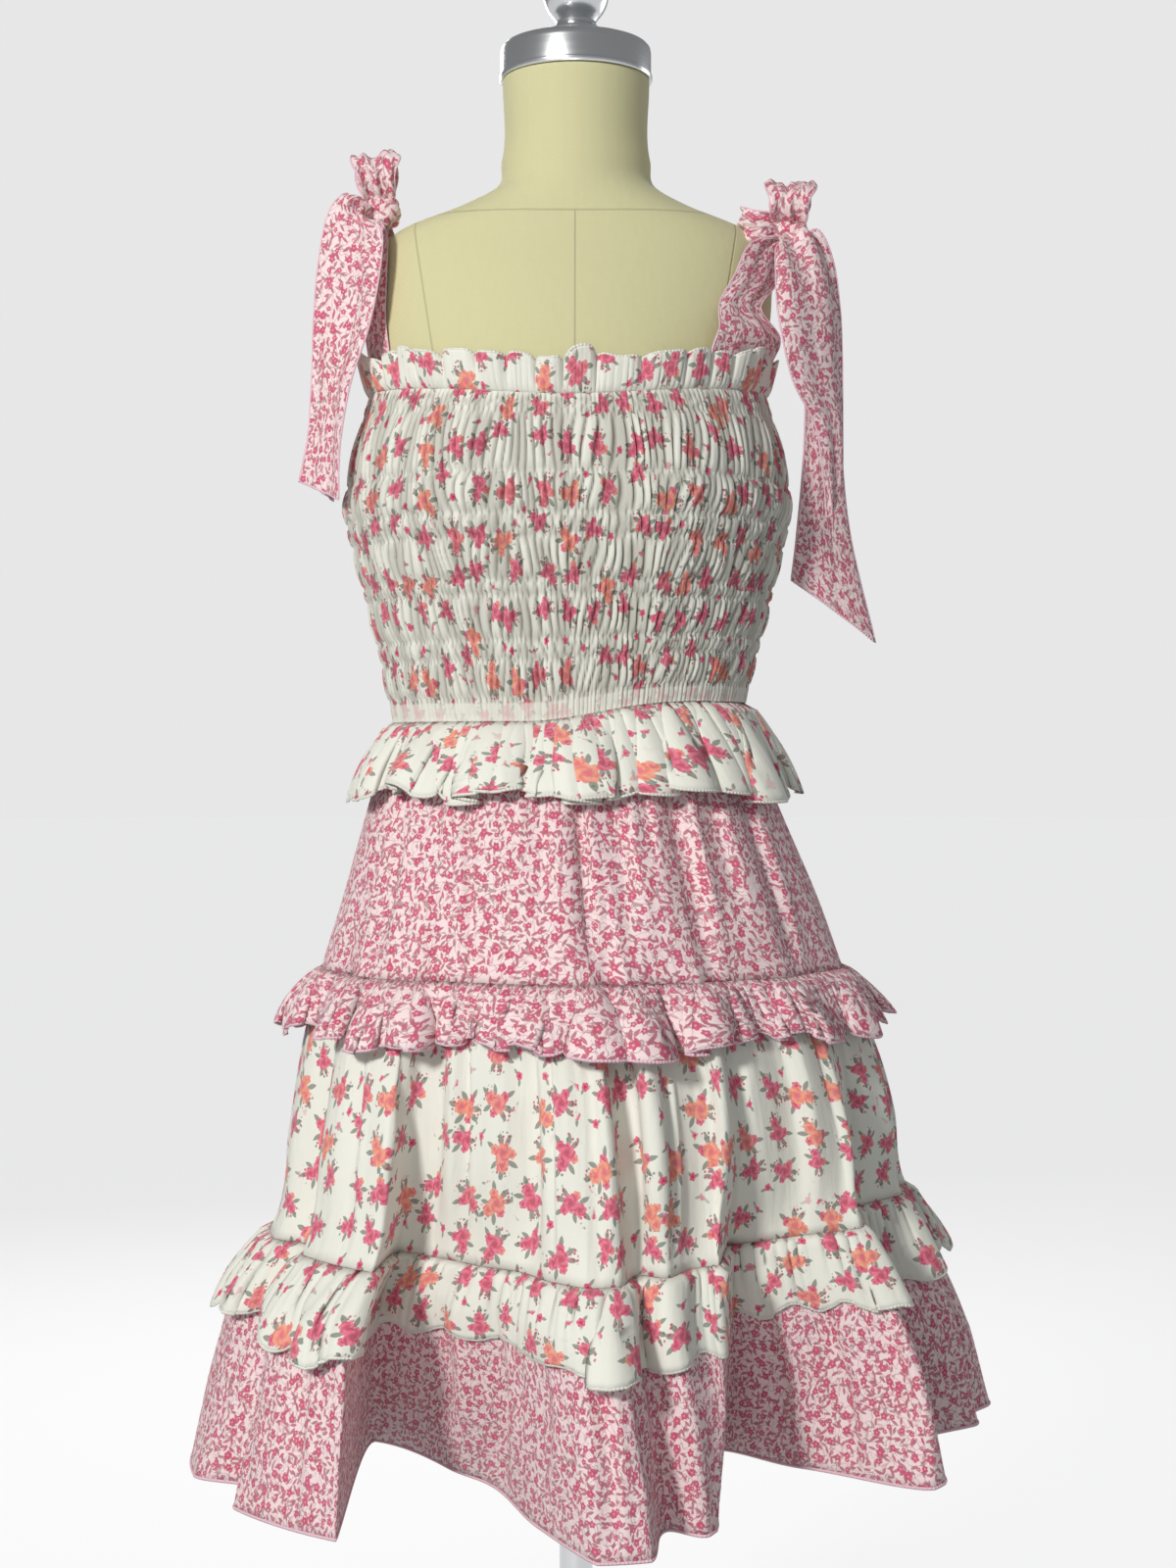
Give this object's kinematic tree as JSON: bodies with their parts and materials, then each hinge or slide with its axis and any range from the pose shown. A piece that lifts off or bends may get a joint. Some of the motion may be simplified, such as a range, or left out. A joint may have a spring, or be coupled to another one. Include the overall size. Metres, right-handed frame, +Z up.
{
  "type": "sundress on a limbless dress form",
  "caption": "Tiered cotton sundress with smocked bodice, ruffles and tied shoulder bows, on a linen dress form with pole and round base.",
  "frame": {"origin": "on the floor under the middle of the base plate's flat underside", "axes": "+Z up along the pole, the dress's front faces -Y, and +X is the right of someone looking at the front"},
  "size_m": [0.5997, 0.505, 1.6095],
  "materials": {
    "rose_cotton": "printed cotton, matt",
    "ditsy_cotton": "printed cotton, matt",
    "form_linen": "plain linen cover, matt",
    "neck_metal": "bright, lightly brushed",
    "pole_metal": "bright",
    "base_paint": "satin"
  },
  "bodies": {
    "root": {"form_body": "form_linen", "neck_cap": "neck_metal", "knob": "neck_metal", "pole": "pole_metal", "pole_flange": "base_paint", "base_plate": "base_paint", "bodice": "rose_cotton", "ruffle_heading": "rose_cotton", "ruffle_waist": "rose_cotton", "skirt_tier_top": "ditsy_cotton", "ruffle_middle": "ditsy_cotton", "skirt_tier_middle": "rose_cotton", "ruffle_lower": "rose_cotton", "skirt_tier_hem": "ditsy_cotton", "tie_front_left": "ditsy_cotton", "tie_front_right": "ditsy_cotton", "tie_back_left": "ditsy_cotton", "tie_back_right": "ditsy_cotton", "bow_drape_left": "ditsy_cotton", "bow_tail_left": "ditsy_cotton", "bow_drape_right": "ditsy_cotton", "bow_tail_right": "ditsy_cotton", "bow_loop_left": "ditsy_cotton", "bow_loop_right": "ditsy_cotton", "bow_loop_inner_right": "ditsy_cotton", "knot_left": "ditsy_cotton", "knot_right": "ditsy_cotton"}
  },
  "joints": []
}
